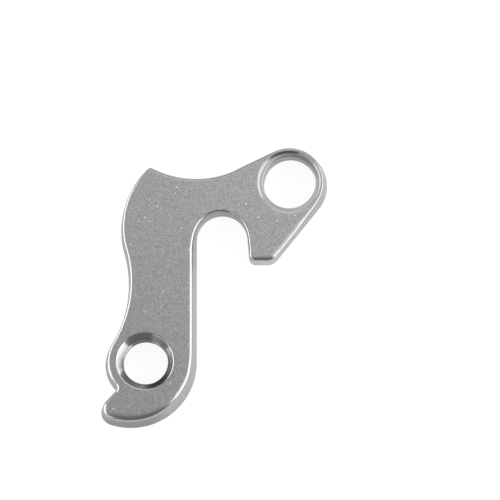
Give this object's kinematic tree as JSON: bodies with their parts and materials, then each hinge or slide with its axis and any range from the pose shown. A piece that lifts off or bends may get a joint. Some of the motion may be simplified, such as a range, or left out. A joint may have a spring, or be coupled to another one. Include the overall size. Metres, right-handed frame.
{
  "type": "derailleur hanger",
  "caption": "Flat forged aluminium plate that carries a bicycle's rear derailleur, with an open axle slot, a countersunk frame bolt eye on a hook, a threaded derailleur eye and a stop claw.",
  "frame": {"origin": "where the axis of the derailleur thread meets the back face", "axes": "+Z along the derailleur thread's axis, out of the countersunk front face; +Y up the arm, along the axle slot, towards the frame bolt eye; +X from the arm towards the hook"},
  "size_m": [0.0447, 0.0554, 0.006],
  "materials": {
    "blasted_aluminium": "bead-blasted and clear anodised, satin, with bright rounded edges"
  },
  "bodies": {
    "root": {"hanger_plate": "blasted_aluminium"}
  },
  "joints": []
}
